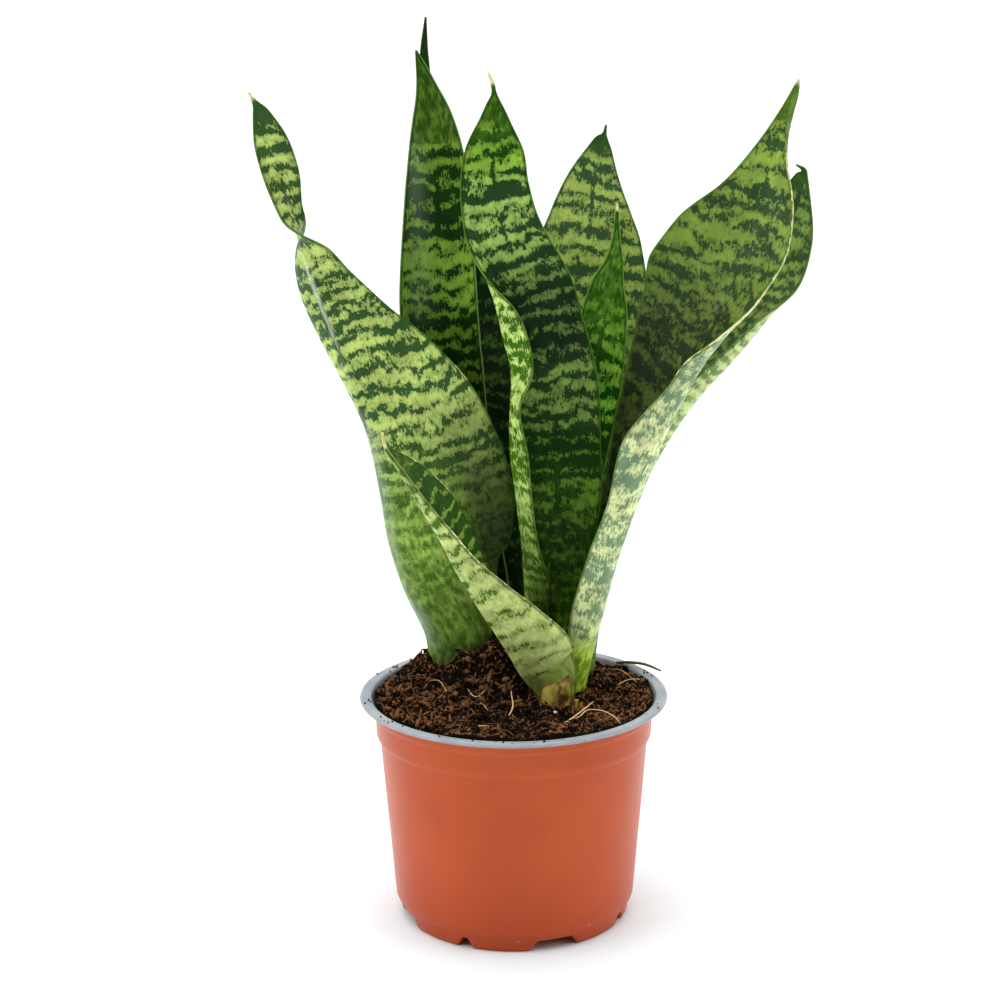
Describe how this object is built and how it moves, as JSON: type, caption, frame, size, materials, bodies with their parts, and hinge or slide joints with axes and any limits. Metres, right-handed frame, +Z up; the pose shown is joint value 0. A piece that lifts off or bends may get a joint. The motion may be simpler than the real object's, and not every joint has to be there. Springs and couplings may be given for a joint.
{
  "type": "potted snake plant",
  "caption": "Snake plant with banded sword-shaped leaves that rise and lean out from a round nursery pot of soil.",
  "frame": {"origin": "on the surface the pot stands on, below the middle of the whole plant's bounding box; the pot's axis is 9.9 mm to -X and 0.8 mm to -Y of it", "axes": "+Z up along the pot's axis, -Y to the side seen in the picture, +X to the right in it"},
  "size_m": [0.2126, 0.1216, 0.3458],
  "materials": {
    "pot": "satin moulded terracotta-coloured plastic",
    "soil": null,
    "rhizome": "smooth pale orange underground stem, hidden",
    "sheath": "dry papery brown",
    "leaf": "firm waxy leaf, light green with dark grey-green bands and a cream margin line"
  },
  "bodies": {
    "root": {"pot": "pot", "soil": "soil", "rhizome": "rhizome", "base_sheath": "sheath", "leaf_left": "leaf", "leaf_tall_left": "leaf", "leaf_tall_back": "leaf", "leaf_centre": "leaf", "leaf_back_right": "leaf", "leaf_young": "leaf", "leaf_right": "leaf", "leaf_right_back": "leaf", "leaf_short_front": "leaf"}
  },
  "joints": []
}
